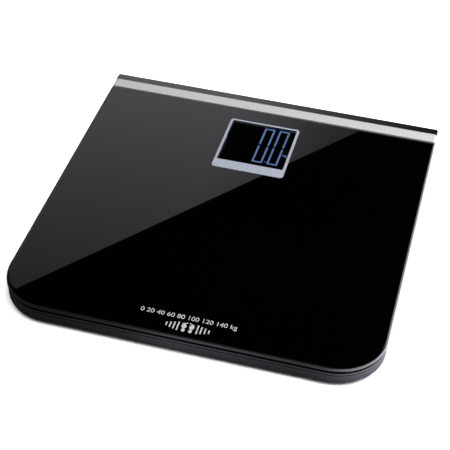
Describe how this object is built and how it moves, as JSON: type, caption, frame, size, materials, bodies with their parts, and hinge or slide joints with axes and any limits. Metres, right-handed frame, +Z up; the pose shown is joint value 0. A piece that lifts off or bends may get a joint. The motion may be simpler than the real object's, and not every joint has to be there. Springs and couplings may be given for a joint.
{
  "type": "digital bathroom scale",
  "caption": "Flat electronic body-weight scale: black glass platform on a plastic base with load-cell feet, silver trim strip, lit numeric display and battery door.",
  "frame": {"origin": "middle of the footprint, on the floor that the feet stand on", "axes": "+X across the scale to its right, +Y to its rear edge with the silver strip, +Z up"},
  "size_m": [0.3034, 0.311, 0.021],
  "materials": {
    "black_abs": "fine satin moulded ABS",
    "black_glass": "polished tempered glass over a black print, opaque",
    "black_print": "black printed film",
    "foam_tape": "double-sided foam tape",
    "silver_trim": "satin silver metallic",
    "gloss_black": "glossy black moulding",
    "silver_bezel": "satin silver metallic",
    "smoked_lens": "smoked anti-glare display window",
    "lcd_black": "black negative liquid-crystal panel",
    "light_guide": "milky acrylic light guide",
    "led_bar": "LED bar",
    "zebra_rubber": "conductive elastomer strip",
    "white_abs": "white moulded ABS",
    "circuit_board": "green solder mask",
    "chip_black": "epoxy and components",
    "switch_black": "tact switch",
    "grey_button": "grey moulded button",
    "silicone_white": "white silicone bead",
    "nickel": "nickel-plated spring steel",
    "zinc_steel": "zinc-plated steel screws",
    "cell_steel": "stamped spring steel",
    "foot_plastic": "black moulded foot",
    "foot_rubber": "soft black rubber pad",
    "battery_jacket": "plain printed jacket",
    "wire_red": "red insulated wire",
    "wire_white": "white insulated wire",
    "solder": "solder"
  },
  "bodies": {
    "housing": {"backlight_leds": "led_bar", "base_cover": "black_abs", "battery_cell_1": "battery_jacket", "battery_cell_2": "battery_jacket", "battery_cell_3": "battery_jacket", "battery_contacts": "nickel", "battery_leads": "wire_red", "battery_springs": "nickel", "board_components": "chip_black", "board_screws": "zinc_steel", "bond_tape": "foam_tape", "controller_chip": "chip_black", "cover_screws": "zinc_steel", "decor_film": "black_print", "display_bezel": "silver_bezel", "display_lens": "smoked_lens", "glass_platform": "black_glass", "lcd_backlight": "light_guide", "lcd_holder": "white_abs", "lcd_panel": "lcd_black", "load_cell_front_left": "cell_steel", "load_cell_front_right": "cell_steel", "load_cell_leads_front_left": "wire_white", "load_cell_leads_front_right": "wire_white", "load_cell_leads_rear_left": "wire_white", "load_cell_leads_rear_right": "wire_white", "load_cell_rear_left": "cell_steel", "load_cell_rear_right": "cell_steel", "main_board": "circuit_board", "platform_tray": "black_abs", "rear_trim_nose": "gloss_black", "silver_trim_strip": "silver_trim", "solder_joints": "solder", "strain_gauges": "silicone_white", "trim_screws": "zinc_steel", "unit_switch": "switch_black", "zebra_connectors": "zebra_rubber"},
    "foot_front_left_body": {"foot_front_left": "foot_plastic", "foot_pad_front_left": "foot_rubber"},
    "foot_front_right_body": {"foot_front_right": "foot_plastic", "foot_pad_front_right": "foot_rubber"},
    "foot_rear_left_body": {"foot_rear_left": "foot_plastic", "foot_pad_rear_left": "foot_rubber"},
    "foot_rear_right_body": {"foot_rear_right": "foot_plastic", "foot_pad_rear_right": "foot_rubber"},
    "unit_button_body": {"unit_button": "grey_button", "unit_switch_plunger": "switch_black"},
    "battery_door_body": {"battery_door": "black_abs", "battery_door_latch": "black_abs"}
  },
  "joints": [
    {"name": "foot_front_left_press", "type": "slide", "parent": "housing", "child": "foot_front_left_body", "axis": [0, 0, 1], "range_m": [0, 0.0006], "stiffness_N_per_m": 600000, "deforming": ["load_cell_front_left"]},
    {"name": "foot_front_right_press", "type": "slide", "parent": "housing", "child": "foot_front_right_body", "axis": [0, 0, 1], "range_m": [0, 0.0006], "stiffness_N_per_m": 600000, "deforming": ["load_cell_front_right"]},
    {"name": "foot_rear_left_press", "type": "slide", "parent": "housing", "child": "foot_rear_left_body", "axis": [0, 0, 1], "range_m": [0, 0.0006], "stiffness_N_per_m": 600000, "deforming": ["load_cell_rear_left"]},
    {"name": "foot_rear_right_press", "type": "slide", "parent": "housing", "child": "foot_rear_right_body", "axis": [0, 0, 1], "range_m": [0, 0.0006], "stiffness_N_per_m": 600000, "deforming": ["load_cell_rear_right"]},
    {"name": "unit_button_press", "type": "slide", "parent": "housing", "child": "unit_button_body", "axis": [0, 0, 1], "range_m": [0, 0.0005], "stiffness_N_per_m": 3000},
    {"name": "battery_door_hinge", "type": "hinge", "parent": "housing", "child": "battery_door_body", "pos_m": [0, -0.0577, 0.003], "axis": [-1, 0, 0], "range_deg": [0, 80], "deforming": ["battery_door_latch"]}
  ]
}
